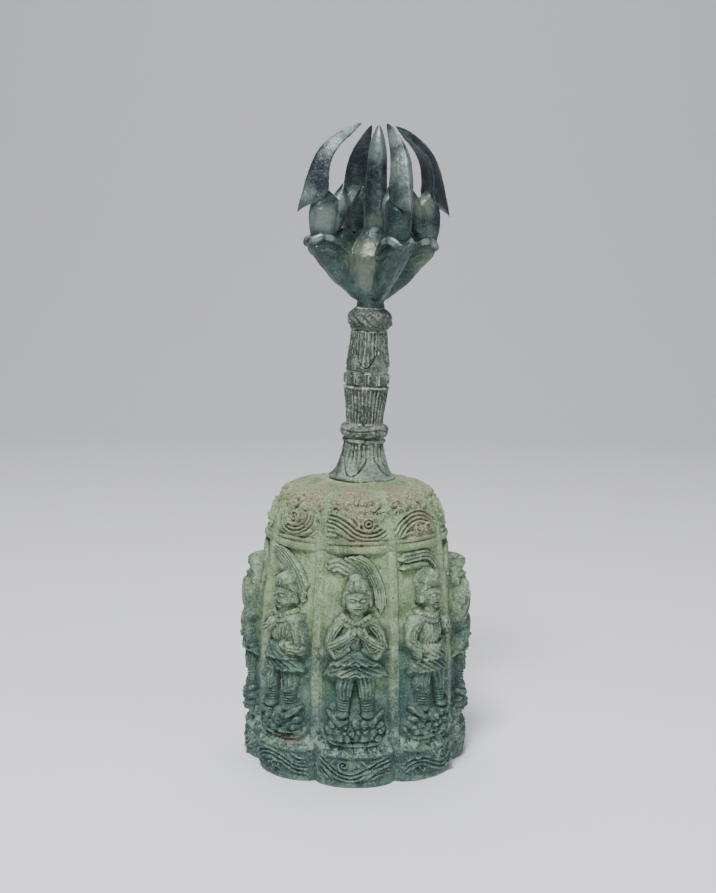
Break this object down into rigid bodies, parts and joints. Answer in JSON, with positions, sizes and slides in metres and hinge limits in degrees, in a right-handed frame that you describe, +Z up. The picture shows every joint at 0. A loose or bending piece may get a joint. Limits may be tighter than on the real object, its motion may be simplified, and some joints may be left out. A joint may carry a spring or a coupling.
{
  "type": "hand bell",
  "caption": "Patinated bronze ritual hand bell with a lobed body in figure relief, a leaning moulded handle, a pronged thunderbolt finial and a swinging clapper.",
  "frame": {"origin": "centre of the bell's mouth at the level of the rim that it stands on", "axes": "+Z up from the rim to the prong tips, -Y out through the front figure, +X to the side the handle leans to"},
  "size_m": [0.0866, 0.0866, 0.23],
  "materials": {
    "bell_patina": "matte grey-green verdigris over cast bronze, buff where worn",
    "figure_patina": "matte blue-green verdigris, darker in the recesses",
    "handle_bronze": "satin olive-grey bronze with dark grooves",
    "vajra_bronze": "satin slate-black bronze with pale green wear on the edges",
    "rusted_iron": "dull brown forged iron"
  },
  "bodies": {
    "bell": {"bell_body": "bell_patina", "figure_front": "figure_patina", "figure_front_right": "figure_patina", "figure_right": "figure_patina", "figure_back_right": "figure_patina", "figure_back": "figure_patina", "figure_back_left": "figure_patina", "figure_left": "figure_patina", "figure_front_left": "figure_patina", "handle_base": "handle_bronze", "lower_ring": "handle_bronze", "lower_grip": "handle_bronze", "grip_band": "handle_bronze", "upper_grip": "handle_bronze", "knob_ring": "handle_bronze", "vajra_hub": "vajra_bronze", "prong_right": "vajra_bronze", "prong_back": "vajra_bronze", "prong_left": "vajra_bronze", "prong_front": "vajra_bronze", "centre_prong": "vajra_bronze", "core_rod": "rusted_iron", "crown_washer": "rusted_iron"},
    "link": {"clapper_link": "rusted_iron"},
    "clapper": {"clapper_rod": "rusted_iron", "clapper_bulb": "rusted_iron"}
  },
  "joints": [
    {"name": "link_swing", "type": "hinge", "parent": "bell", "child": "link", "pos_m": [0.0015, 0, 0.0893], "axis": [1, 0, 0], "range_deg": [-14, 14]},
    {"name": "clapper_swing", "type": "hinge", "parent": "link", "child": "clapper", "pos_m": [0.0015, 0, 0.08065], "axis": [0, 1, 0], "range_deg": [-15.5, 15.5]}
  ]
}
